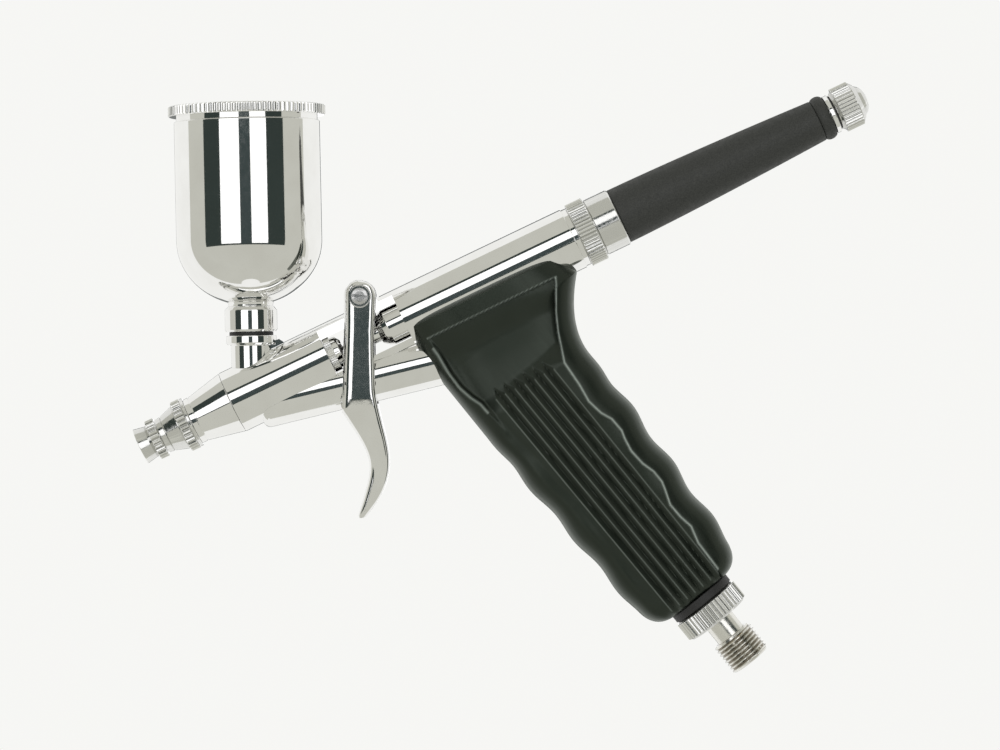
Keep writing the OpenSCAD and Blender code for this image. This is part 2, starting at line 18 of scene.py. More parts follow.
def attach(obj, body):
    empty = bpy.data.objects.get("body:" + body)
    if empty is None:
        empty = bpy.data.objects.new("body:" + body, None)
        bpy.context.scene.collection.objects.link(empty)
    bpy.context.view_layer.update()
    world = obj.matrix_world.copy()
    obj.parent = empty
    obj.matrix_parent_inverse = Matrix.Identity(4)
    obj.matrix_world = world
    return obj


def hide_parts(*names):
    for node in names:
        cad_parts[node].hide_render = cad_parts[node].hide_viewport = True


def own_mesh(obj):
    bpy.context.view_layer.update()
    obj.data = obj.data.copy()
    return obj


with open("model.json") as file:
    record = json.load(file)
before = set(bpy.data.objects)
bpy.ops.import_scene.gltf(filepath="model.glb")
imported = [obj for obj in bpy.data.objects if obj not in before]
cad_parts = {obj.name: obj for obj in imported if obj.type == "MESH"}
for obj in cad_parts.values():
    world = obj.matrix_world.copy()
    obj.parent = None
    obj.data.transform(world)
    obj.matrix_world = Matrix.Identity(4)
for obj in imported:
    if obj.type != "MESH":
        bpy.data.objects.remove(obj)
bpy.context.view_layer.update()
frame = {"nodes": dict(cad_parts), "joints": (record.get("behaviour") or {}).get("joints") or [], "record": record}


# ---- frames: all shapes are given in millimetres in one of these -----------------

MM = 0.001
ACROSS = Vector((0, 1, 0))

# Where the trigger's pivot lies in the barrel's frame: behind the nose, and above the axis
PIVOT_BACK = 58.8
PIVOT_UP = 8.85
# Distance of the air tube's axis from the pivot
TUBE_FROM_PIVOT = 18.07
# Where the cup's foot lies in the barrel's frame: behind the nose, and below the axis
CUP_AT = 27.6
CUP_DROP = 0.4


def ease(low, high, value):
    """Smooth step from 0 at low to 1 at high, on numbers or arrays."""
    u = np.clip((value - low) / (high - low), 0, 1)
    return u * u * (3 - 2 * u)


def joint(name):
    """The record's joint of that name."""
    return next(j for j in frame["joints"] if j["name"] == name)


def frame_along(origin, axis):
    """Matrix from millimetres to the row: z along the axis, y across the gun."""
    z = Vector(axis).normalized()
    x = ACROSS.cross(z)
    turn = Matrix((x, ACROSS, z)).transposed().to_4x4()
    return Matrix.Translation(origin) @ turn @ Matrix.Scale(MM, 4)


inlet = frame["record"]["mounts"][0]
pivot = Vector(joint("trigger_pull")["pos_m"])
barrel_axis = Vector(joint("needle_draw")["axis"])
tube_axis = Vector(joint("valve_push")["axis"])
barrel_up = barrel_axis.cross(ACROSS)
tube_up = tube_axis.cross(ACROSS)
nose = pivot - (PIVOT_BACK * barrel_axis + PIVOT_UP * barrel_up) * MM
cup_foot = nose + (CUP_AT * barrel_axis - CUP_DROP * barrel_up) * MM

# In BARREL and TUBE x points down. In CUP, TRIGGER and GRIP x points to the back.
BARREL = frame_along(nose, barrel_axis)
TUBE = frame_along(pivot - TUBE_FROM_PIVOT * MM * tube_up, tube_axis)
CUP = frame_along(cup_foot, joint("lid_lift")["axis"])
TRIGGER = frame_along(pivot, (0, 0, 1))
GRIP = frame_along(inlet["pos_m"], -Vector(inlet["axis"]))


# ---- materials -------------------------------------------------------------------

class Shader:
    """A small helper that adds nodes to one material."""

    def __init__(self, name):
        self.material = bpy.data.materials.new(name)
        self.material.use_nodes = True
        self.nodes = self.material.node_tree.nodes
        self.links = self.material.node_tree.links
        self.main = self.nodes["Principled BSDF"]
        self.place = self.nodes.new("ShaderNodeTexCoord").outputs["Object"]

    def link(self, source, socket):
        self.links.new(source, socket)

    def along_axis(self, axis, scale):
        """Object coordinates turned so that z runs along the axis, then scaled."""
        turn = self.nodes.new("ShaderNodeMapping")
        turn.inputs["Rotation"].default_value = (
            Vector(axis).rotation_difference(Vector((0, 0, 1))).to_euler())
        self.link(self.place, turn.inputs["Vector"])
        size = self.nodes.new("ShaderNodeMapping")
        size.inputs["Scale"].default_value = scale
        self.link(turn.outputs["Vector"], size.inputs["Vector"])
        return size.outputs["Vector"]

    def noise(self, scale, detail, vector=None):
        """Noise from 0 to 1, by object coordinates or by the vector given."""
        node = self.nodes.new("ShaderNodeTexNoise")
        node.inputs["Scale"].default_value = scale
        node.inputs["Detail"].default_value = detail
        self.link(vector or self.place, node.inputs["Vector"])
        return node.outputs["Fac"]

    def span(self, value, low, high, start=0.3, end=0.7):
        """The value's part from start to end, mapped to low to high."""
        node = self.nodes.new("ShaderNodeMapRange")
        node.inputs["From Min"].default_value = start
        node.inputs["From Max"].default_value = end
        node.inputs["To Min"].default_value = low
        node.inputs["To Max"].default_value = high
        self.link(value, node.inputs["Value"])
        return node.outputs["Result"]

    def blend(self, value, dark, light, start=0.3, end=0.7):
        """A colour between dark and light."""
        node = self.nodes.new("ShaderNodeValToRGB")
        node.color_ramp.elements[0].position = start
        node.color_ramp.elements[1].position = end
        node.color_ramp.elements[0].color = (*dark, 1)
        node.color_ramp.elements[1].color = (*light, 1)
        self.link(value, node.inputs["Fac"])
        return node.outputs["Color"]

    def bump(self, height, strength, depth_mm, below=None):
        """Normal of a bumped surface, laid over another bump if there is one below."""
        node = self.nodes.new("ShaderNodeBump")
        node.inputs["Strength"].default_value = strength
        node.inputs["Distance"].default_value = depth_mm * MM
        self.link(height, node.inputs["Height"])
        if below:
            self.link(below, node.inputs["Normal"])
        return node.outputs["Normal"]

    def crests(self):
        """0 in hollows and 1 on edges, by how the surface is folded."""
        folds = self.nodes.new("ShaderNodeNewGeometry").outputs["Pointiness"]
        return self.span(folds, 0, 1, 0.44, 0.56)


def metal(name, colours, polish, wave=None, grain=None, along=None):
    """Metal between two colours, with a roughness between the two of polish.

    A slow wave from buffing and a fine grain are each given as (depth in mm, scale). With
    along, the smears and the grain are drawn out along that axis.
    """
    s = Shader(name)
    s.main.inputs["Metallic"].default_value = 1.0
    smears = s.noise(900, 3, s.along_axis(along, (1, 1, 0.06)) if along else None)
    s.link(s.blend(s.noise(170, 4), *colours), s.main.inputs["Base Color"])
    s.link(s.span(smears, *polish), s.main.inputs["Roughness"])
    normal = None
    if wave:
        depth, scale = wave
        normal = s.bump(s.noise(scale, 1), 1.0, depth)
    if grain:
        depth, scale = grain
        fine = s.noise(scale, 2, s.along_axis(along, (1, 1, 0.03)) if along else None)
        normal = s.bump(fine, 0.5, depth, normal)
    if normal:
        s.link(normal, s.main.inputs["Normal"])
    return s.material


def knurled_chrome_plate():
    """Chrome on knurling, with painted shade: darker in the grooves, lighter on the crests."""
    s = Shader("knurled_chrome")
    s.main.inputs["Metallic"].default_value = 1.0
    # Painted shade: the base colour darkens in the knurl's grooves
    s.link(s.blend(s.crests(), (0.55, 0.55, 0.53), (0.9, 0.9, 0.885)), s.main.inputs["Base Color"])
    s.link(s.span(s.noise(1500, 3), 0.07, 0.2), s.main.inputs["Roughness"])
    s.link(s.bump(s.noise(3500, 2), 0.35, 0.01), s.main.inputs["Normal"])
    return s.material


def worn_nickel():
    """Nickel on the thread: dull, with rubbed crests and brownish roots."""
    s = Shader("worn_nickel")
    s.main.inputs["Metallic"].default_value = 1.0
    s.link(s.blend(s.crests(), (0.36, 0.33, 0.28), (0.84, 0.83, 0.79)), s.main.inputs["Base Color"])
    s.link(s.span(s.noise(1400, 4), 0.13, 0.3), s.main.inputs["Roughness"])
    s.link(s.bump(s.noise(4200, 3), 0.4, 0.012), s.main.inputs["Normal"])
    return s.material


def grip_plastic():
    """Dark moulded plastic: satin, with a fine grain, faint streaks up the grip and painted highlights along the
    flute ridges and panel rims.
    """
    greenish = (0.84, 1, 0.82, 1)
    s = Shader("grip_plastic")
    patches = s.blend(s.noise(90, 4), (0.0038, 0.0048, 0.0038), (0.0070, 0.0085, 0.0070))
    # Painted highlight: a pale colour mixed into the base colour where the grip's point attribute marks ridges and
    # rims
    painted_highlight = s.nodes.new("ShaderNodeMix")
    painted_highlight.data_type = "RGBA"
    painted_highlight.inputs["B"].default_value = (0.27, 0.29, 0.28, 1)
    edges = s.nodes.new("ShaderNodeAttribute")
    edges.attribute_name = "painted_highlight"
    s.link(edges.outputs["Fac"], painted_highlight.inputs["Factor"])
    s.link(patches, painted_highlight.inputs["A"])
    s.link(painted_highlight.outputs["Result"], s.main.inputs["Base Color"])
    s.main.inputs["Coat Weight"].default_value = 0.25
    s.main.inputs["Coat Roughness"].default_value = 0.22
    s.main.inputs["Specular Tint"].default_value = greenish
    s.main.inputs["Coat Tint"].default_value = greenish
    streaks = s.noise(1100, 3, s.along_axis(-Vector(inlet["axis"]), (1, 1, 0.05)))
    s.link(s.span(streaks, 0.31, 0.43), s.main.inputs["Roughness"])
    s.main.inputs["Specular IOR Level"].default_value = 0.42
    grain = s.bump(s.noise(5200, 2), 0.35, 0.018)
    s.link(s.bump(streaks, 0.25, 0.02, grain), s.main.inputs["Normal"])
    return s.material


def handle_coating():
    """Soft-touch coating: matt, with a fine leathery speckle."""
    s = Shader("handle_coating")
    speckle = s.noise(3800, 3)
    s.link(s.blend(speckle, (0.018, 0.020, 0.0175), (0.040, 0.042, 0.037)), s.main.inputs["Base Color"])
    s.link(s.span(s.noise(700, 2), 0.5, 0.66), s.main.inputs["Roughness"])
    s.main.inputs["Specular IOR Level"].default_value = 0.42
    coarse = s.bump(s.noise(1500, 3), 0.35, 0.03)
    s.link(s.bump(speckle, 0.55, 0.03, coarse), s.main.inputs["Normal"])
    return s.material


def soft_material(name, dark, light, roughness):
    """Rubber or white seal plastic, with a fine mottle."""
    s = Shader(name)
    mottle = s.noise(2600, 3)
    s.link(s.blend(mottle, dark, light), s.main.inputs["Base Color"])
    s.link(s.span(mottle, roughness - 0.08, roughness + 0.08), s.main.inputs["Roughness"])
    s.link(s.bump(mottle, 0.4, 0.015), s.main.inputs["Normal"])
    return s.material


BRIGHT = (0.88, 0.875, 0.86), (0.93, 0.93, 0.92)
STEEL = (0.50, 0.50, 0.50), (0.68, 0.68, 0.68)
WIRE = (0.35, 0.35, 0.36), (0.5, 0.5, 0.5)
BRASS = (0.60, 0.42, 0.16), (0.78, 0.60, 0.30)
barrel_chrome = metal("barrel_chrome", BRIGHT, (0.035, 0.07), (0.006, 120), (0.0015, 5000), barrel_axis)
cup_chrome = metal("cup_chrome", BRIGHT, (0.03, 0.06), wave=(0.006, 90))
cast_chrome = metal("cast_chrome", BRIGHT, (0.05, 0.1), wave=(0.018, 420), grain=(0.006, 3200))
knurled_chrome = knurled_chrome_plate()
nickel = worn_nickel()
steel = metal("turned_steel", STEEL, (0.16, 0.32), grain=(0.004, 4000), along=barrel_axis)
spring_steel = metal("spring_steel", WIRE, (0.25, 0.4), grain=(0.004, 9000))
brass = metal("turned_brass", BRASS, (0.18, 0.34), grain=(0.004, 9000))
plastic = grip_plastic()
coating = handle_coating()
rubber = soft_material("seal_rubber", (0.010, 0.010, 0.010), (0.020, 0.020, 0.020), 0.55)
seal_white = soft_material("seal_white", (0.72, 0.72, 0.70), (0.82, 0.82, 0.80), 0.4)


# ---- mesh helpers ----------------------------------------------------------------

def finish_mesh(mesh):
    """Smooth faces, with sharp edges where they fold by more than an angle."""
    sharp_deg = 32
    mesh.polygons.foreach_set("use_smooth", [True] * len(mesh.polygons))
    mesh.set_sharp_from_angle(angle=math.radians(sharp_deg))
    mesh.update()


def mesh_object(name, points, faces, matrix):
    """Object from points in a part's frame, with its faces turned outwards."""
    mesh = bpy.data.meshes.new(name)
    mesh.from_pydata([tuple(p) for p in points], [], faces)
    mesh.transform(matrix)
    work = bmesh.new()
    work.from_mesh(mesh)
    bmesh.ops.remove_doubles(work, verts=work.verts, dist=1e-7)
    bmesh.ops.recalc_face_normals(work, faces=work.faces)
    work.to_mesh(mesh)
    work.free()
    finish_mesh(mesh)
    made = bpy.data.objects.new(name, mesh)
    bpy.context.scene.collection.objects.link(made)
    return made


def combine(piece, others, operation="DIFFERENCE"):
    """Cuts the others from the piece, or adds them to it, and deletes them."""
    for other in others:
        step = piece.modifiers.new("combine", "BOOLEAN")
        step.operation = operation
        step.solver = "EXACT"
        step.object = other
    graph = bpy.context.evaluated_depsgraph_get()
    mesh = bpy.data.meshes.new_from_object(piece.evaluated_get(graph))
    piece.modifiers.clear()
    piece.data = mesh
    finish_mesh(mesh)
    for other in others:
        bpy.data.objects.remove(other)


def closed_faces(rows, count):
    """Faces that join rows of count points each, with a cap at both ends."""
    last = (rows - 1) * count
    faces = [tuple(range(count)), tuple(range(last, last + count))]
    for i in range(rows - 1):
        low, high = i * count, (i + 1) * count
        faces += [(low + k, low + (k + 1) % count, high + (k + 1) % count, high + k) for k in range(count)]
    return faces


def show(piece, body, slot, material, *nodes):
    """The piece rides on its body, wears its material and stands for the CAD nodes."""
    piece.data.materials.clear()
    piece.data.materials.append(material)
    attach(piece, body)
    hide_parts(*nodes)


# ---- turned shapes ---------------------------------------------------------------

def filleted(outline, closed):
    """Plain points of an outline whose corners are (height, radius) or (height, radius, fillet)."""
    most_of_edge = 0.45
    arc_step_deg = 15
    guard_share = 0.15
    corners = [Vector(p[:2]) for p in outline]
    fillets = [p[2] if len(p) > 2 else 0.0 for p in outline]
    count = len(corners)
    points = []
    for i, corner in enumerate(corners):
        end = not closed and i in (0, count - 1)
        if fillets[i] == 0 or end:
            points.append(tuple(corner))
            continue
        before = corners[i - 1] - corner
        after = corners[(i + 1) % count] - corner
        turn = before.angle(after)
        reach = fillets[i] / math.tan(turn / 2)
        reach = min(reach, most_of_edge * before.length, most_of_edge * after.length)
        radius = reach * math.tan(turn / 2)
        start = corner + before.normalized() * reach
        inwards = (before.normalized() + after.normalized()).normalized()
        middle = corner + inwards * (radius / math.sin(turn / 2))
        finish = corner + after.normalized() * reach
        a, b = start - middle, finish - middle
        sweep = a.angle(b)
        steps = max(2, math.ceil(math.degrees(sweep) / arc_step_deg))
        # One more point just before and after a fillet keeps the straight stretches flat
        guard = guard_share * radius
        if before.length > 2.2 * reach + guard:
            points.append(tuple(start + before.normalized() * guard))
        for k in range(steps + 1):
            t = k / steps
            spin = (math.sin((1 - t) * sweep) * a + math.sin(t * sweep) * b) / math.sin(sweep)
            points.append(tuple(middle + spin))
        if after.length > 2.2 * reach + guard:
            points.append(tuple(finish + after.normalized() * guard))
    return points


def turned(name, outline, matrix, closed=True, segments=128, surface=None):
    """Piece turned about z from an outline that is closed, or that starts and ends on the axis.

    surface(height, radius, angle), where there is one, gives each point a radius of its own.
    """
    points = filleted(outline, closed)
    rows = len(points)
    angles = [2 * math.pi * k / segments for k in range(segments)]
    verts = []
    for height, radius in points:
        for angle in angles:
            r = surface(height, radius, angle) if surface else radius
            verts.append((r * math.cos(angle), r * math.sin(angle), height))
    faces = []
    for i in range(rows if closed else rows - 1):
        low, high = i * segments, (i + 1) % rows * segments
        for k in range(segments):
            after = (k + 1) % segments
            faces.append((low + k, low + after, high + after, high + k))
    return mesh_object(name, verts, faces, matrix)


def knurl(low, high, crest, teeth, depth, sharpness=1.0):
    """Surface for turned(): straight grooves cut into a crest between two heights."""
    def surface(height, radius, angle):
        if not low - 1e-6 <= height <= high + 1e-6:
            return radius
        groove = (0.5 + 0.5 * math.cos(teeth * angle)) ** sharpness
        return min(radius, crest - depth * groove)
    return surface


def disc(name, matrix, at, radius, low, high, segments=96):
    """Cylinder across the gun, from y = low to high, at (x, z) of a part's frame."""
    angles = [2 * math.pi * k / segments for k in range(segments)]
    ring = [(at[0] + radius * math.cos(a), at[1] + radius * math.sin(a)) for a in angles]
    return plate(name, matrix, ring, low, high)


def rod(name, matrix, radius, low, high, segments=128):
    """Cylinder along z of a part's frame."""
    return turned(name, [(low, 0), (low, radius), (high, radius), (high, 0)], matrix, False, segments)


def block(name, matrix, low, high):
    """Box in a part's frame, between two opposite corners."""
    verts = [(x, y, z) for x in (low[0], high[0]) for y in (low[1], high[1]) for z in (low[2], high[2])]
    faces = [(0, 1, 3, 2), (4, 5, 7, 6), (0, 1, 5, 4), (2, 3, 7, 6), (0, 2, 6, 4), (1, 3, 7, 5)]
    return mesh_object(name, verts, faces, matrix)


def plate(name, matrix, outline, low, high):
    """Prism across the gun with a side outline of (x, z) points."""
    verts = [(x, y, z) for y in (low, high) for x, z in outline]
    return mesh_object(name, verts, closed_faces(2, len(outline)), matrix)


def bar(name, matrix, outline, low, high):
    """Prism along z with an outline of (x, y) points."""
    verts = [(x, y, z) for z in (low, high) for x, y in outline]
    return mesh_object(name, verts, closed_faces(2, len(outline)), matrix)


# ---- nose ------------------------------------------------------------------------

BARREL_R = 7.15


def make_nose():
    """Needle cap, nozzle cap and head."""
    cap = turned("needle_cap_v", [
        (0.25, 3.1), (0, 3.3, 0.1), (0, 4.13, 0.12), (2.46, 3.69, 0.4), (3.1, 3.69), (3.1, 4.69, 0.35),
        (5.14, 4.69, 0.35), (5.14, 2.82), (3.2, 2.82), (3.2, 3.1)],
        BARREL, segments=240, surface=knurl(3.1, 5.14, 4.69, 24, 0.42))
    show(cap, "gun", "chrome_knurled", knurled_chrome, "needle_cap")
    nozzle_cap = turned("nozzle_cap_v", [
        (3.3, 1), (3.3, 2.8, 0.1), (5.3, 2.8), (5.3, 3.91, 0.15), (6.55, 4.12, 0.06), (6.6, 3.98),
        (6.78, 3.98), (6.8, 4.17, 0.06), (9.83, 5.14, 0.1), (10.06, 5.14), (10.06, 6.03, 0.4),
        (12.1, 6.03, 0.4), (12.1, 5.5), (12.25, 5.5), (12.25, 5.81, 0.12), (12.93, 5.81, 0.15),
        (12.93, 4.32), (9.5, 4.32), (4.6, 1)],
        BARREL, segments=320, surface=knurl(10.06, 12.1, 6.03, 32, 0.45))
    show(nozzle_cap, "gun", "chrome_knurled", knurled_chrome, "nozzle_cap")
    head = turned("head_v", [
        (9.65, 1.32), (9.65, 4.3), (12.95, 4.3), (12.95, 5.3, 0.12), (14.2, 5.3, 0.05), (14.24, 5.16),
        (14.41, 5.16), (14.45, 5.3, 0.05), (22.82, 7.1, 0.1), (22.82, 4), (25.2, 4), (25.2, 0.9),
        (13.05, 0.9), (13.05, 1.32)], BARREL, segments=192)
    show(head, "gun", "chrome_bright", barrel_chrome, "head")


# ---- barrel ----------------------------------------------------------------------

# Trigger window: its two ends behind the nose, and its reach above and below the barrel's axis
WINDOW = (46.7, 65.3)
WINDOW_TOP = 4.1
WINDOW_BOTTOM = 4.4
# Boss that the trigger's fork straddles
BOSS_R = 3.1
BOSS_HALF = 4.15
PIVOT_IN_BARREL = (-PIVOT_UP, PIVOT_BACK)
# Valve pin at rest, in the trigger's frame, and half the width of the slot it sweeps
PIN_AT = (-2.7, -19.28)
PIN_PATH_R = 1.3
FULL_PULL = math.radians(joint("trigger_pull")["range_deg"][1])
# Air tube: its radius, and the radius and front end of its bore
TUBE_R = 5.5
TUBE_BORE_R = 2.9
TUBE_BORE_FROM = -11


def arc(middle, radius, first, last):
    """Points of an arc between two angles."""
    steps = 10
    angles = [first + (last - first) * k / steps for k in range(steps + 1)]
    return [(middle[0] + radius * math.cos(a), middle[1] + radius * math.sin(a)) for a in angles]


def pin_path():
    """Slot that the valve pin sweeps about the pivot as the trigger is pulled."""
    reach = math.hypot(*PIN_AT)
    start = math.atan2(PIN_AT[1], PIN_AT[0])
    last = start + FULL_PULL
    end_middle = (reach * math.cos(last), reach * math.sin(last))
    outline = arc((0, 0), reach + PIN_PATH_R, start, last)
    outline += arc(end_middle, PIN_PATH_R, last, last + math.pi)[1:]
    outline += arc((0, 0), reach - PIN_PATH_R, last, start)[1:]
    outline += arc(PIN_AT, PIN_PATH_R, start + math.pi, start + 2 * math.pi)[1:-1]
    return plate("pin_path", TRIGGER, outline, -9, 9)


def window_cutters():
    """The trigger window, and the flats along its two sides."""
    low, high = WINDOW
    cutters = [block("window", BARREL, (-WINDOW_TOP, -10, low), (WINDOW_BOTTOM, 10, high))]
    flat = [(-10, 3.3), (-WINDOW_TOP, BOSS_HALF), (WINDOW_BOTTOM, BOSS_HALF), (10, 3.4), (10, 10), (-10, 10)]
    for side, name in ((-1, "flat_near"), (1, "flat_far")):
        cutters.append(bar(name, BARREL, [(x, side * y) for x, y in flat], low, high))
    return cutters


def make_barrel():
    """Barrel with its bores and window, the boss for the pivot and the web behind the cup's stem."""
    body = turned("barrel_v", [
        (22.88, 4.05), (22.88, BARREL_R, 0.12), (107.3, BARREL_R, 0.1), (107.36, 6.9), (108.4, 6.9, 0.05),
        (108.4, 5.6), (98, 5.6), (98, 4.15), (55, 4.15), (55, 2.4), (33.5, 2.4), (33.5, 1.6), (25.8, 1.6),
        (25.8, 4.05)], BARREL, segments=288)
    boss = disc("boss", BARREL, PIVOT_IN_BARREL, BOSS_R, -BOSS_HALF, BOSS_HALF)
    neck = block("neck", BARREL, (-PIVOT_UP, -BOSS_HALF, PIVOT_BACK - BOSS_R),
                 (-4.5, BOSS_HALF, PIVOT_BACK + BOSS_R))
    gusset = plate("gusset", BARREL, [(-6.2, 33), (-6.2, 39.6), (-8.2, 38.4), (-8.5, 36)], -1.6, 1.6)
    combine(body, [boss, neck, gusset], "UNION")
    combine(body, window_cutters() + [
        rod("stem_space", CUP, 4.63, 4.6, 16),
        rod("flange_space", CUP, 5.64, 11.1, 16),
        rod("passage", CUP, 2, 0, 6),
        rod("tube_bore", TUBE, TUBE_BORE_R, TUBE_BORE_FROM, 36),
        disc("screw_hole", BARREL, PIVOT_IN_BARREL, 1.25, -10, 10, 32),
        pin_path()])
    show(body, "gun", "chrome_bright", barrel_chrome, "barrel")


def make_air_tube():
    """Air tube with a rounded front end, cut to fit against the barrel."""
    front = -27.6
    back = 32
    body = turned("air_tube_v", [
        (front, 0), (front, TUBE_R, 1.6), (back, TUBE_R), (back, TUBE_BORE_R),
        (TUBE_BORE_FROM, TUBE_BORE_R), (TUBE_BORE_FROM, 0)],
        TUBE, False, segments=224)
    room = rod("barrel_room", BARREL, BARREL_R + 0.01, 0, 110, 288)
    combine(body, [room, pin_path(), rod("pipe_way", GRIP, 2, 60, 94)])
    show(body, "gun", "chrome_bright", barrel_chrome, "air_tube")


def make_window_parts():
    """The packing screw and the needle guide that show in the trigger window."""
    screw = turned("packing_screw_v", [
        (36.6, 0.95), (36.6, 2.36), (46.75, 2.36), (46.75, 3.95, 0.12), (48.3, 3.95, 0.12), (48.35, 3.5),
        (49.6, 3.4, 0.5), (50.4, 2.2, 0.4), (50.4, 0.95)], BARREL, segments=384,
        surface=knurl(46.75, 48.3, 3.95, 48, 0.14))
    show(screw, "gun", "steel_needle", cast_chrome, "packing_screw")
    bore = 0.67
    guide = turned("needle_guide_v", [
        (56.25, bore), (56.25, 2.1, 0.25), (59, 2.1, 0.05), (59, 2.6, 0.1), (60.2, 3.6, 0.4),
        (61.4, 4.1, 0.4), (80, 4.1, 0.1), (80, 2.2), (119, 2.2, 0.15), (119, bore)], BARREL, segments=160)
    show(guide, "needle", "steel_needle", barrel_chrome, "needle_guide")


# ---- cup -------------------------------------------------------------------------

CUP_R = 16.3
CUP_WALL = 0.85
# Heights above the cup's foot: its rim, and where its bowl meets the straight wall
CUP_RIM = 61.0
BOWL_TOP = 34.6
BOWL_DEPTH = 14.7


def bowl(radius, depth, low_radius, steps):
    """Quarter of an ellipse from the bowl's foot to its straight wall."""
    start = math.asin(low_radius / radius)
    sweep = [start + (math.pi / 2 - start) * k / steps for k in range(steps + 1)]
    return [(BOWL_TOP - depth * math.cos(t), radius * math.sin(t)) for t in sweep]


def make_cup():
    """Hollow cup with an elliptical bowl."""
    inner = CUP_R - CUP_WALL
    outline = [(12.25, 2), (12.25, 3.2, 0.1), (19.72, 3.2), (19.72, 5.05, 0.12), (20.15, 4.95, 0.1)]
    outline += bowl(CUP_R, BOWL_DEPTH, 5.2, 40)
    outline += [(CUP_RIM, CUP_R, 0.2), (CUP_RIM, inner, 0.1)]
    outline += bowl(inner, BOWL_DEPTH - CUP_WALL, 2, 32)[::-1]
    cup = turned("cup_v", outline, CUP, segments=224)
    show(cup, "gun", "chrome_bright", cup_chrome, "cup")


def make_cup_joint():
    """The stem that the cup stands on, and the nut that joins them."""
    stem = turned("cup_stem_v", [
        (4.62, 2), (4.62, 4.6, 0.1), (11.15, 4.6, 0.25), (11.15, 5.2), (11.55, 5.6, 0.15),
        (13.2, 5.6, 0.25), (13.2, 3.25), (12.2, 3.25), (12.2, 2)], CUP, segments=160)
    show(stem, "gun", "chrome_bright", cup_chrome, "cup_stem")
    nut = turned("cup_nut_v", [
        (14.06, 3.25), (14.06, 5.5, 0.1), (14.5, 5.85, 0.2), (18.9, 5.85, 0.35), (19.66, 5.2, 0.2),
        (19.66, 3.25)], CUP, segments=160)
    show(nut, "gun", "chrome_bright", cup_chrome, "cup_nut")


def make_lid():
    """Lid with a knurled edge, a plug that fits in the cup and a vent hole."""
    low = 62.2
    high = 64.5
    crest = 17.6
    plug = CUP_R - CUP_WALL - 0.06
    lid = turned("cup_lid_v", [
        (61.8, 0), (61.8, 14.6, 0.4), (57.5, 14.6, 0.1), (57.5, plug, 0.3), (61.03, plug), (61.03, 15.8, 0.1),
        (low, 15.8), (low, crest, 0.45), (high, crest, 0.5), (high, 16.6, 0.05),
        (high - 0.12, 16.45, 0.05), (high - 0.1, 0)],
        CUP, False, segments=960, surface=knurl(low, high, crest, 96, 0.36, 2.5))
    combine(lid, [rod("vent", CUP, 0.75, 60, 66, 48)])
    show(lid, "lid", "chrome_knurled", cup_chrome, "cup_lid")


# ---- handle ----------------------------------------------------------------------

# The tapered stretch of the handle, behind the nose
HANDLE_FROM = 118.5
HANDLE_TO = 167.8


def make_collar():
    """Knurled ring with a plain ferrule behind it."""
    collar = turned("handle_collar_v", [
        (103.6, 3.8), (103.6, 5.58), (108.45, 5.58), (108.45, 6.9, 0.05), (108.62, 6.9),
        (108.62, 7.5, 0.4), (112.6, 7.5, 0.4), (112.6, 6.45), (112.8, 6.45), (112.9, 6.7, 0.15),
        (118.2, 6.7, 0.2), (118.45, 6.4), (118.45, 4.6), (124, 4.6), (124, 3.8)],
        BARREL, segments=448, surface=knurl(108.62, 112.6, 7.5, 56, 0.28))
    show(collar, "gun", "chrome_knurled", knurled_chrome, "handle_collar")


def make_handle():
    """Tapered handle that swells into a bead at its end, hollow inside."""
    front_r = 6.35
    back_r = 4.69
    steps = 30
    outline = [(HANDLE_FROM, 4.62), (HANDLE_FROM, front_r, 0.25)]
    outline += [(HANDLE_FROM + (HANDLE_TO - HANDLE_FROM) * k / steps,
                 front_r + (back_r - front_r) * (k / steps) ** 1.5) for k in range(1, steps + 1)]
    bead_angles = [math.radians(a) for a in range(165, -1, -15)]
    outline += [(169.3 + 1.45 * math.cos(a), 4.2 + 0.9 * math.sin(a)) for a in bead_angles]
    outline += [(170.8, 3.42), (162.6, 3.42), (162.6, 2.6), (150, 2.6), (150, 3.8), (124.2, 3.8),
                (124.2, 4.62)]
    handle = turned("handle_v", outline, BARREL, segments=160)
    show(handle, "gun", "handle_coat", coating, "handle")


def make_adjuster():
    """The metal end of the handle, and the knob behind it."""
    end = turned("handle_end_v", [
        (163, 2.05), (163, 3.38), (170.85, 3.38), (170.85, 4.47, 0.12), (171.88, 4.47, 0.25),
        (171.88, 2.05)],
        BARREL, segments=128)
    show(end, "gun", "chrome_bright", barrel_chrome, "handle_end")
    knob = turned("adjuster_knob_v", [
        (176.05, 0), (176.05, 2.05), (172.3, 2.05), (172.3, 4.02, 0.12), (172.95, 4.6), (173.0, 5.2, 0.4),
        (177.2, 5.2, 0.4), (177.2, 4.75), (177.35, 4.75, 0.05), (178.1, 3.9, 0.15), (178.3, 3.5, 0.1),
        (179.05, 2.95, 0.4), (179.6, 2.1, 0.5), (179.9, 1, 0.8), (179.9, 0)],
        BARREL, False, segments=288, surface=knurl(173.0, 177.2, 5.2, 36, 0.4))
    show(knob, "adjuster_knob", "chrome_knurled", knurled_chrome, "adjuster_knob")


# ---- trigger ---------------------------------------------------------------------

# The fork's ears: their radius, and how far their centre lies above the pivot
EAR_R = 3.5
EAR_UP = 0.15
# Half of the gap in the fork, and half of its whole width
FORK_HALF = 4.45
FORK_OUTER = 7.3


def curve(a, b, c, d, steps):
    """Points of a cubic curve from a to d."""
    found = []
    for i in range(steps + 1):
        t = i / steps
        u = 1 - t
        weights = (u ** 3, 3 * u * u * t, 3 * u * t * t, t ** 3)
        found.append(tuple(sum(share * p[k] for share, p in zip(weights, (a, b, c, d))) for k in (0, 1)))
    return found


def at_height(points, z):
    """First coordinate of a polyline where its second is z."""
    ordered = sorted(points, key=lambda p: p[1])
    return float(np.interp(z, [p[1] for p in ordered], [p[0] for p in ordered]))


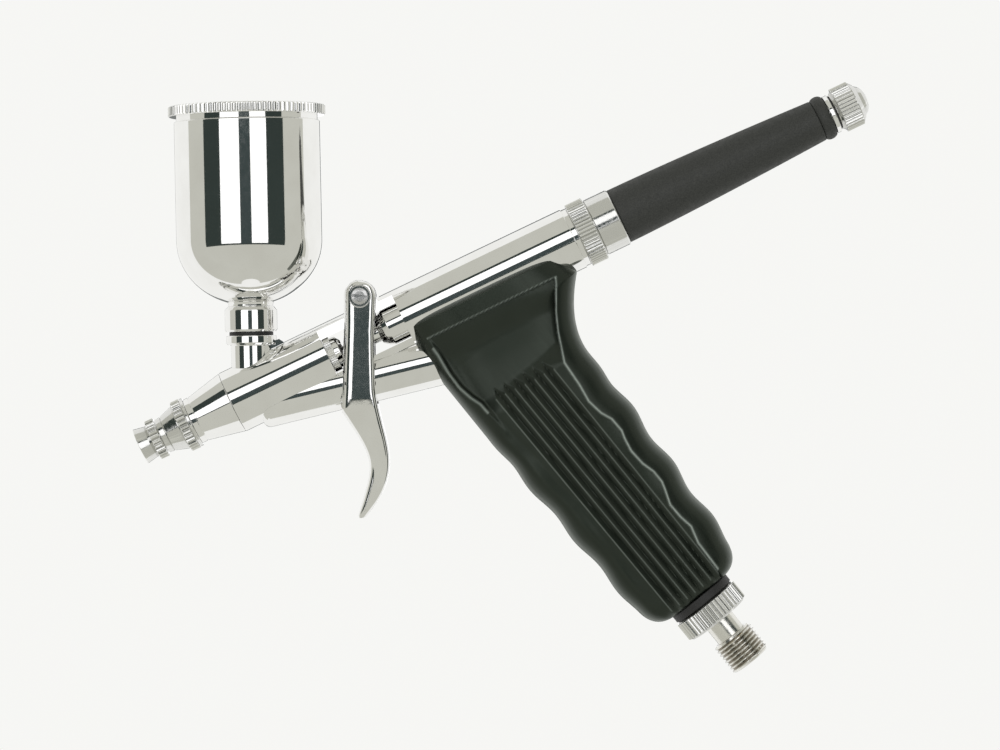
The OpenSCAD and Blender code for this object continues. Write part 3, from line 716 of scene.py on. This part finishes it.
def trigger_rows():
    """Rows down the trigger: height, front edge, rear edge and half width."""
    front = [(-EAR_R, EAR_UP), (-3.6, -7), (-4.1, -18.4)]
    front += curve((-4.4, -25.4), (3.5, -37.4), (2.8, -36.4), (-1, -48.8), 40) + [(-0.75, -49.42)]
    rear = [(EAR_R, EAR_UP), (3.1, -8), (3.1, -14)]
    rear += curve((3.2, -21), (4.4, -32), (10.3, -38.6), (0.5, -49.2), 40) + [(-0.3, -49.48)]
    width = [(FORK_OUTER, 5), (FORK_OUTER, -22.5), (7.1, -24.5), (6.6, -27.5), (6.1, -30.5), (5.6, -33.5),
             (5.1, -37), (4.45, -42), (3.85, -46), (3.4, -48), (2.8, -49.5)]
    rows = []
    for tilt in (86, 80, 74, 68, 62, 55, 48, 41, 34, 27, 20, 13, 6):
        reach = EAR_R * math.cos(math.radians(tilt))
        rows.append((EAR_UP + EAR_R * math.sin(math.radians(tilt)), -reach, reach))
    heights = [EAR_UP - 0.55 * k for k in range(89)] + [-48.5, -48.9, -49.15, -49.35]
    rows += [(z, at_height(front, z), at_height(rear, z)) for z in heights]
    return [(z, a, b, at_height(width, z)) for z, a, b in rows]


def rounded_section(front, rear, half, front_r, rear_r, crown):
    """Ring of a rectangle with rounded corners in front and at the rear, and sides that bulge by crown."""
    reach = (rear - front) / 2
    middle = (front + rear) / 2
    most = 0.92 * min(reach, half)
    front_r = min(front_r, most)
    rear_r = min(rear_r, most)
    ring = []
    for quarter, (sx, sy) in enumerate(((1, 1), (-1, 1), (-1, -1), (1, -1))):
        radius = rear_r if sx > 0 else front_r
        centre = (middle + sx * (reach - radius), sy * (half - crown - radius))
        for k in range(9):
            t = math.radians(90 * quarter + 90 * k / 8)
            ring.append((centre[0] + radius * math.cos(t), centre[1] + radius * math.sin(t)))
        if quarter in (0, 2):
            other = front_r if sx > 0 else rear_r
            flat_end = middle - sx * (reach - other)
            for k in range(1, 6):
                u = k / 6
                ring.append((centre[0] + (flat_end - centre[0]) * u,
                             sy * (half - crown * (2 * u - 1) ** 2)))
    return ring


def trigger_solid():
    """The trigger before its gaps and holes are cut, lofted from rounded sections."""
    top_round = 1.4
    ear_top = EAR_UP + EAR_R
    verts = []
    rows = trigger_rows()
    for z, front, rear, half in rows:
        near_top = max(0.0, (z - ear_top + top_round) / top_round)
        half -= top_round * (1 - math.sqrt(1 - near_top ** 2))
        front_r = 2.3 * (1 - 0.35 * float(ease(20, 36, -z)))
        verts += [(x, y, z) for x, y in rounded_section(front, rear, half, front_r, 1.15, 0.03)]
    return mesh_object("trigger_v", verts, closed_faces(len(rows), len(verts) // len(rows)), TRIGGER)


def fork_gaps():
    """Room in the fork for the barrel, and for the air tube from rest to full pull."""
    room_half = TUBE_R + 0.3
    room_from = 14
    room_to = TUBE_FROM_PIVOT + room_half
    overlap = 2
    reach = 20
    tube_climb = math.asin(tube_axis.z)
    cutters = [disc("fork_gap", TRIGGER, (0, 0), room_from + overlap, -FORK_HALF, FORK_HALF)]
    for k, angle in enumerate((tube_climb, tube_climb - FULL_PULL / 2, tube_climb - FULL_PULL)):
        along = Vector((math.cos(angle), math.sin(angle)))
        down = Vector((math.sin(angle), -math.cos(angle)))
        corners = [-reach * along + room_from * down, reach * along + room_from * down,
                   reach * along + room_to * down, -reach * along + room_to * down]
        cutters.append(plate(f"tube_room_{k}", TRIGGER, corners, -room_half, room_half))
    return cutters


def trigger_holes():
    """Holes for the pivot screws with their countersinks, and for the two pins."""
    cutters = [disc("pivot_hole", TRIGGER, (0, 0), 1.55, -10, 10, 48)]
    for side, name in ((-1, "seat_near"), (1, "seat_far")):
        cutters.append(turned(name, [
            (FORK_OUTER - 0.8, 0), (FORK_OUTER - 0.8, 2.25), (FORK_OUTER - 0.35, 2.25), (FORK_OUTER, 2.6),
            (FORK_OUTER + 1, 3.6), (FORK_OUTER + 1, 0)], across_gun(side), False, 96))
    pin_end = 0.7 - FORK_OUTER
    cutters.append(disc("pusher_hole", TRIGGER, (-1, -10), 2.4, pin_end, 10))
    cutters.append(disc("valve_pin_hole", TRIGGER, PIN_AT, 0.9, pin_end, 10, 48))
    return cutters


def make_trigger():
    """Forked trigger with a curved finger blade."""
    body = trigger_solid()
    combine(body, fork_gaps() + trigger_holes())
    show(body, "trigger", "chrome_bright", cast_chrome, "trigger")


def across_gun(side):
    """Frame at the pivot with z pointing out of the gun's side: -1 is the near one."""
    return TRIGGER @ Matrix.Rotation(math.radians(-90 * side), 4, "X")


def make_pivot_screws():
    """Two slotted screws, one on each side."""
    head_low = FORK_OUTER - 0.7
    for side, name in ((-1, "pivot_screw_near"), (1, "pivot_screw_far")):
        screw = turned(name, [
            (2, 0), (2, 1.23), (BOSS_HALF, 1.23), (BOSS_HALF, 1.5), (head_low, 1.5), (head_low, 1.9, 0.05),
            (FORK_OUTER - 0.2, 1.9, 0.2), (FORK_OUTER - 0.04, 1.2, 0.6), (FORK_OUTER - 0.02, 0)],
            across_gun(side), False, segments=96)
        edges = sorted((side * (FORK_OUTER - 0.4), side * (FORK_OUTER + 1)))
        turn = TRIGGER @ Matrix.Rotation(math.radians(8), 4, "Y")
        combine(screw, [block("slot", turn, (-3, edges[0], -0.3), (3, edges[1], 0.3))])
        show(screw, "gun", "steel_needle", steel, "pivot_screws")


# ---- grip ------------------------------------------------------------------------

# In the grip's frame w is the distance up the grip from the inlet's end face, and x points to
# the back. The functions of w and x work on numbers and on arrays.
PALM_HALF = 11.0
WAVE_DEPTH = 0.5
WAVE_PITCH = 15.0
WAVE_CREST = 60.5
GRIP_LOW = 18.8
GRIP_HIGH = 108.0
# The rounding of the grip's foot: its height, and how far it draws the foot in
FOOT_HEIGHT = 5.2
FOOT_IN = 5.4


def waves(w):
    """Finger waves, which fade out towards the barrel."""
    return WAVE_DEPTH * np.cos(2 * np.pi * (w - WAVE_CREST) / WAVE_PITCH) * (1 - ease(66, 76, w))


def foot_round(w):
    """How far the rounded foot is drawn in."""
    t = np.minimum(1, (w - GRIP_LOW) / FOOT_HEIGHT)
    return FOOT_IN * (1 - np.sqrt(np.maximum(0, 1 - (1 - t) ** 2)))


def grip_front(w):
    """Distance from the grip's axis to its front."""
    return (13.3 + 0.03 * (np.minimum(w, 74) - 30) + 0.75 * waves(w)
            - 0.1 * np.maximum(0, w - 94) - foot_round(w))


def grip_back(w):
    """Distance from the grip's axis to its back, which flares below the barrel."""
    return (13.2 + 0.05 * (np.minimum(w, 66) - 30) + waves(w)
            + 0.0365 * np.minimum(16, np.maximum(0, w - 76)) ** 2 - 0.25 * np.maximum(0, w - 92)
            - foot_round(w))


def grip_half(w):
    """Half of the grip's width across the gun."""
    return PALM_HALF - 0.9 * (1 - ease(18, 50, w)) - 1.1 * ease(60, 96, w) - 0.5 * foot_round(w)


# Rear and front edges of the sunk panel on the grip's side, as (w, x)
PANEL_REAR = [(18, 6.6), (21.3, 6.9), (28.4, 7.1), (32.3, 8.2), (35.3, 7.7), (38.9, 7.6), (42.1, 8.8),
              (44, 9.4), (46.9, 9.4), (49.9, 8.6), (53.6, 8.4), (56.6, 9), (58.4, 9.6), (61.8, 9.5),
              (64.3, 8.5), (68, 8), (72.1, 8.7), (78, 9.2), (84.2, 12.4), (87.9, 14.8), (92.8, 18.8),
              (96, 21)]
PANEL_FRONT = [(18, -8.6), (52, -8.6), (58, -9.4), (65, -9.6), (73, -10.4), (82.6, -10.7), (85, -11.5),
               (88.3, -12.1), (91.9, -12), (96.9, -11.2), (103, -11)]
PANEL_DEPTH = 0.95
# Height of the panel's upper edge, from the barrel's axis
PANEL_TOP = -6.2
FLUTES = 6
FLUTE_DEPTH = 0.85


def panel_edge(points, w):
    """Where an edge of the panel runs at a height."""
    return np.interp(w, [p[0] for p in points], [p[1] for p in points])


def barrel_height(x, w):
    """Height above the barrel's axis of a point in the grip's middle plane."""
    to_barrel = BARREL.inverted() @ GRIP
    return -(to_barrel[0][0] * x + to_barrel[0][2] * w + to_barrel[0][3])


def ridge_at(number, w):
    """Where a ridge between two flutes runs: they fan out a little upwards."""
    up = (w - 19) / 62
    return -6.9 + 2.22 * number + up * (0.14 * number - 0.75)


def flute_depth(x, w):
    """V grooves side by side up the grip's side, with pointed upper ends."""
    depth = np.zeros_like(x)
    for k in range(FLUTES):
        left, right = ridge_at(k, w), ridge_at(k + 1, w)
        half = (right - left) / 2
        tip = 83.6 - 0.42 * k
        away = np.abs(x - (left + right) / 2) / half
        room = np.clip((tip - w) / 2.6, 0, 1)
        groove = np.clip(room - away, 0, 1)
        depth = np.maximum(depth, FLUTE_DEPTH * groove)
    return depth * ease(18.2, 21, w)


def panel_depth(x, w):
    """How far the grip's side is sunk: a panel that rises behind the flutes, and a thumb hollow above."""
    rear = panel_edge(PANEL_REAR, w)
    front = panel_edge(PANEL_FRONT, w)
    inner = np.minimum(ridge_at(FLUTES, w), rear - 0.4)
    ramp = np.clip((x - inner) / (rear - inner), 0, 1)
    above_flutes = ease(78, 83, w)
    sunk = PANEL_DEPTH * (1 - 0.62 * ramp) * (1 - above_flutes) + PANEL_DEPTH * above_flutes
    rear_lip = ease(0.0, 0.35, rear - x)
    sharp = ease(-0.5, 0.9, x - front)
    soft = ease(-2.6, 1.2, x - front)
    front_lip = soft + (sharp - soft) * ease(72, 80, w)
    h = barrel_height(x, w)
    top_lip = ease(PANEL_TOP + 0.05, PANEL_TOP - 0.3, h)
    hollow = 1.5 * ease(-6.3, -13, h) * (1 - 0.6 * ease(-16, -34, h))
    return (sunk + hollow * above_flutes) * rear_lip * front_lip * top_lip


def grip_ring(w, count):
    """One ring of the grip, a rounded rectangle with evenly spaced points, as (x, y)."""
    squareness = 0.62
    angle = np.linspace(0, 2 * np.pi, 1441)
    front, back = grip_front(w), grip_back(w)
    c = np.sign(np.cos(angle)) * np.abs(np.cos(angle)) ** squareness
    s = np.sign(np.sin(angle)) * np.abs(np.sin(angle)) ** squareness
    x = (back - front) / 2 + c * (back + front) / 2
    y = s * grip_half(w)
    length = np.concatenate([[0], np.cumsum(np.hypot(np.diff(x), np.diff(y)))])
    at = np.linspace(0, length[-1], count, endpoint=False)
    return np.interp(at, length, x), np.interp(at, length, y)


def paint_grip_highlights(piece):
    """Stores a painted highlight for each point of the grip: pale lines on the ridges of the flutes and the rims
    of the panel, standing in for reflections.
    """
    to_grip = np.array(GRIP.inverted())
    points = np.empty(3 * len(piece.data.vertices))
    piece.data.vertices.foreach_get("co", points)
    x, y, w = (points.reshape(-1, 3) @ to_grip[:3, :3].T + to_grip[:3, 3]).T

    def line(distance, width, most):
        return most * np.exp(-(distance / width) ** 2)

    def inside(value, low, high):
        return (value > low) & (value < high)

    # Painted highlight: thin lines along the flute ridges and the panel's rear, front and upper rims
    highlight_strength = np.zeros_like(x)
    for k in range(FLUTES + 1):
        ridge = line(x - ridge_at(k, w), 0.12, 0.36) * inside(w, 20, 81.4 - 0.5 * k)
        highlight_strength = np.maximum(highlight_strength, ridge)
    rear = panel_edge(PANEL_REAR, w)
    front = panel_edge(PANEL_FRONT, w)
    h = barrel_height(x, w)
    highlight_strength = np.maximum(highlight_strength, line(x - rear, 0.24, 1.0) * inside(w, 21, 95) * (h < PANEL_TOP))
    highlight_strength = np.maximum(highlight_strength, line(x - front + 0.3, 0.3, 0.6) * inside(w, 80, 99) * (h < PANEL_TOP))
    highlight_strength = np.maximum(highlight_strength, line(h - PANEL_TOP, 0.16, 0.5) * inside(x, -11.2, 20))
    highlight_strength *= np.abs(y) > 0.7 * grip_half(w)
    layer = piece.data.attributes.new("painted_highlight", "FLOAT", "POINT")
    layer.data.foreach_set("value", highlight_strength)


def grip_solid():
    """The grip with its panels and flutes, before the barrel, air tube and pipe are cut out of it."""
    count = 520
    foot_rows = 14
    row_step = 0.28
    heights = [GRIP_LOW + FOOT_HEIGHT * (1 - math.cos(math.radians(90 * i / foot_rows)))
               for i in range(foot_rows)]
    heights += list(np.arange(GRIP_LOW + FOOT_HEIGHT, GRIP_HIGH, row_step))
    verts = []
    for w in heights:
        x, y = grip_ring(w, count)
        height = np.full_like(x, w)
        on_side = ease(0.62, 0.9, np.abs(y) / grip_half(w))
        sink = (panel_depth(x, height) + flute_depth(x, height)) * on_side
        y = y - np.sign(y) * sink
        verts += list(zip(x, y, height))
    return mesh_object("grip_v", verts, closed_faces(len(heights), count), GRIP)


def make_grip():
    """Grip, cut to fit round the barrel, the air tube and the pipe inside it."""
    body = grip_solid()
    pipe_room = [(10, 0), (10, 4.55), (24.6, 4.55), (24.6, 4.05), (94, 4.05), (94, 0)]
    combine(body, [
        block("above", BARREL, (-60, -30, 40), (2.5, 30, 130)),
        rod("barrel_room", BARREL, BARREL_R + 0.05, 40, 120, 192),
        rod("tube_room", TUBE, TUBE_R + 0.05, -30, 32.2, 128),
        turned("pipe_room", pipe_room, GRIP, False, 96)])
    paint_grip_highlights(body)
    show(body, "gun", "grip_plastic", plastic, "grip")


def make_grip_nut():
    """The washer under the grip, and the knurled nut that holds it."""
    washer = turned("grip_washer_v", [
        (16.9, 4.52), (16.9, 7.6, 0.25), (18.78, 7.6, 0.25), (18.78, 4.52)], GRIP, segments=128)
    show(washer, "gun", "rubber_black", rubber, "grip_washer")
    nut = turned("grip_nut_v", [
        (11.7, 4.52), (11.7, 7.0, 0.15), (12.15, 7.5), (12.2, 8, 0.35), (16.4, 8, 0.35), (16.45, 7.5),
        (16.88, 7.1, 0.15), (16.88, 4.52)], GRIP, segments=440, surface=knurl(12.2, 16.4, 8, 44, 0.5))
    show(nut, "gun", "chrome_knurled", knurled_chrome, "grip_nut")


def make_inlet():
    """Nipple with a helical pipe thread."""
    crest = inlet["dims"]["r_mm"]
    length = inlet["dims"]["length_mm"]
    pitch = 0.907
    depth = 0.5
    neck = 3.46

    def thread(height, radius, angle):
        if radius < neck or height > length + 0.01:
            return radius
        turn = (height / pitch - angle / (2 * math.pi)) % 1
        groove = max(0.0, 1 - abs(turn - 0.5) / 0.42)
        fade = min(1, max(0, (height - 0.1) / 0.5)) * min(1, max(0, (length - height) / 0.4))
        return min(radius, crest - depth * min(1, 1.15 * groove) * fade)

    steps = 84
    outline = [(1.2, 1.8), (0, 2.6, 0.1), (0, 4.25, 0.1)]
    outline += [(0.45 + (length - 0.9) * k / steps, crest) for k in range(steps + 1)]
    outline += [(length, 4.4), (length, neck, 0.1), (12.4, neck), (12.4, 2.5), (20, 2.5), (20, 1.8)]
    inlet_piece = turned("air_inlet_v", outline, GRIP, segments=144, surface=thread)
    show(inlet_piece, "gun", "nickel_satin", nickel, "air_inlet")


# ---- springs ---------------------------------------------------------------------

def coil(name, matrix, low, high, radius, wire, turns):
    """Compression spring about z. The radius of its round wire is wire."""
    steps = 24 * turns
    sides = 10
    rise = high - low - 2 * wire
    slope = math.atan(rise / (2 * math.pi * turns * radius))
    verts = []
    for i in range(steps + 1):
        angle = 2 * math.pi * turns * i / steps
        out = Vector((math.cos(angle), math.sin(angle), 0))
        back = Vector((math.sin(angle), -math.cos(angle), 0))
        lean = math.sin(slope) * back + Vector((0, 0, math.cos(slope)))
        centre = radius * out + Vector((0, 0, low + wire + rise * i / steps))
        for k in range(sides):
            t = 2 * math.pi * k / sides
            verts.append(centre + wire * (math.cos(t) * out + math.sin(t) * lean))
    return mesh_object(name, verts, closed_faces(steps + 1, sides), matrix)


def make_spring(node, matrix, low, high, radius, wire, turns):
    """Spring along z of a part's frame, between two heights, with a mesh of its own."""
    spring = coil(f"{node}_v", matrix, low, high, radius, wire, turns)
    show(spring, "gun", "steel_spring", spring_steel, node)
    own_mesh(spring)


def make_springs():
    """The needle's return spring and the air valve's."""
    make_spring("needle_spring", BARREL, 80.16, 95.9, radius=3.1, wire=0.35, turns=7)
    make_spring("valve_spring", TUBE, 13.16, 24.3, radius=2, wire=0.3, turns=6)


# ---- CAD nodes that stay ---------------------------------------------------------

# CAD nodes that are shown as they are, most of them inside the gun
KEPT = {
    brass: ["nozzle", "chuck_nut", "spring_case", "valve_guide", "valve_seat", "valve_plug", "air_pipe"],
    steel: ["needle", "needle_stop", "pusher_pin", "valve_pin", "valve_stem"],
    rubber: ["cup_seal", "knob_washer", "valve_poppet", "valve_ring"],
    seal_white: ["head_seal", "needle_packing"],
}


def dress_kept_nodes():
    """Gives the CAD nodes that are shown their materials."""
    for material, names in KEPT.items():
        for name in names:
            node = frame["nodes"][name]
            node.data.materials.clear()
            node.data.materials.append(material)


# ---- stage, light and camera -----------------------------------------------------

# The middle of the gun, which the cards stand round and the camera looks at
CENTRE = Vector((-0.0554, 0, 0.0644))


def direction(azimuth, elevation):
    """Unit vector: azimuth 0 is towards the camera and 90 is to the right."""
    a, e = math.radians(azimuth), math.radians(elevation)
    return Vector((math.sin(a) * math.cos(e), -math.cos(a) * math.cos(e), math.sin(e)))


def stage_material(name, kind, colour):
    """Material of a single shader: an emission for a card, a diffuse one for the floor."""
    material = bpy.data.materials.new(name)
    material.use_nodes = True
    nodes = material.node_tree.nodes
    nodes.remove(nodes["Principled BSDF"])
    shader = nodes.new(kind)
    shader.inputs["Color"].default_value = (*colour, 1)
    material.node_tree.links.new(shader.outputs[0], nodes["Material Output"].inputs["Surface"])
    return material


def card(name, azimuths, elevations, radius, colour):
    """Studio card that only reflections see: part of a sphere round the gun, in metres."""
    steps = 24
    grid = [(azimuths[0] + (azimuths[1] - azimuths[0]) * i / steps,
             elevations[0] + (elevations[1] - elevations[0]) * j / steps)
            for i in range(steps + 1) for j in range(steps + 1)]
    verts = [CENTRE + radius * direction(a, e) for a, e in grid]
    row = steps + 1
    faces = [(i * row + j, i * row + j + 1, (i + 1) * row + j + 1, (i + 1) * row + j)
             for i in range(steps) for j in range(steps)]
    made = mesh_object(name, verts, faces, Matrix.Identity(4))
    made.data.materials.append(stage_material(name, "ShaderNodeEmission", colour))
    made.visible_camera = False
    made.visible_diffuse = False
    made.visible_shadow = False
    made.visible_transmission = False


def make_cards():
    """A pale card in front with a dark part, a softbox and a dark camera on it, and a pair behind."""
    card("card_front", (-102, 102), (-80, 80), 3.4, (0.56, 0.56, 0.505))
    card("card_dark", (-70, 61), (-11, 33), 3.2, (0.034, 0.045, 0.041))
    card("card_softbox", (-42, 32), (-8, 26), 3.0, (1.35, 1.35, 1.35))
    card("card_camera", (-11, 6.3), (-9, 5.5), 2.8, (0.045, 0.06, 0.06))
    card("card_back", (166, 194), (-20, 35), 3.2, (0.20, 0.21, 0.205))
    card("card_back_box", (175, 185), (-8, 26), 3.0, (1.2, 1.2, 1.2))


def make_floor():
    """White paper below the gun, which the chrome doesn't mirror."""
    corners = [(-4, -4, -0.75), (4, -4, -0.75), (4, 4, -0.75), (-4, 4, -0.75)]
    floor = mesh_object("floor", corners, [(0, 1, 2, 3)], Matrix.Identity(4))
    paper = stage_material("floor_paper", "ShaderNodeBsdfDiffuse", (0.985, 0.985, 0.985))
    floor.data.materials.append(paper)
    floor.visible_glossy = False


def make_world():
    """Even, pale surroundings."""
    world = bpy.data.worlds.new("studio")
    world.use_nodes = True
    world.node_tree.nodes["Background"].inputs["Color"].default_value = (0.925, 0.925, 0.905, 1)
    bpy.context.scene.world = world
    bpy.context.scene.view_settings.view_transform = "Standard"


def make_camera():
    """Camera that looks straight across the gun, rolled a little as in the photo."""
    distance = 0.909
    view_width = 0.2235
    data = bpy.data.cameras.new("camera")
    data.sensor_width = 36
    data.lens = data.sensor_width * distance / view_width
    camera = bpy.data.objects.new("camera", data)
    bpy.context.scene.collection.objects.link(camera)
    roll = Matrix.Rotation(math.radians(-0.7), 4, "Z")
    camera.matrix_world = (Matrix.Translation(CENTRE - distance * ACROSS)
                           @ Matrix.Rotation(math.radians(90), 4, "X") @ roll)
    bpy.context.scene.camera = camera


make_camera()
make_cards()
make_floor()
make_world()
make_nose()
make_barrel()
make_air_tube()
make_window_parts()
make_cup()
make_cup_joint()
make_lid()
make_collar()
make_handle()
make_adjuster()
make_trigger()
make_pivot_screws()
make_grip()
make_grip_nut()
make_inlet()
make_springs()
dress_kept_nodes()
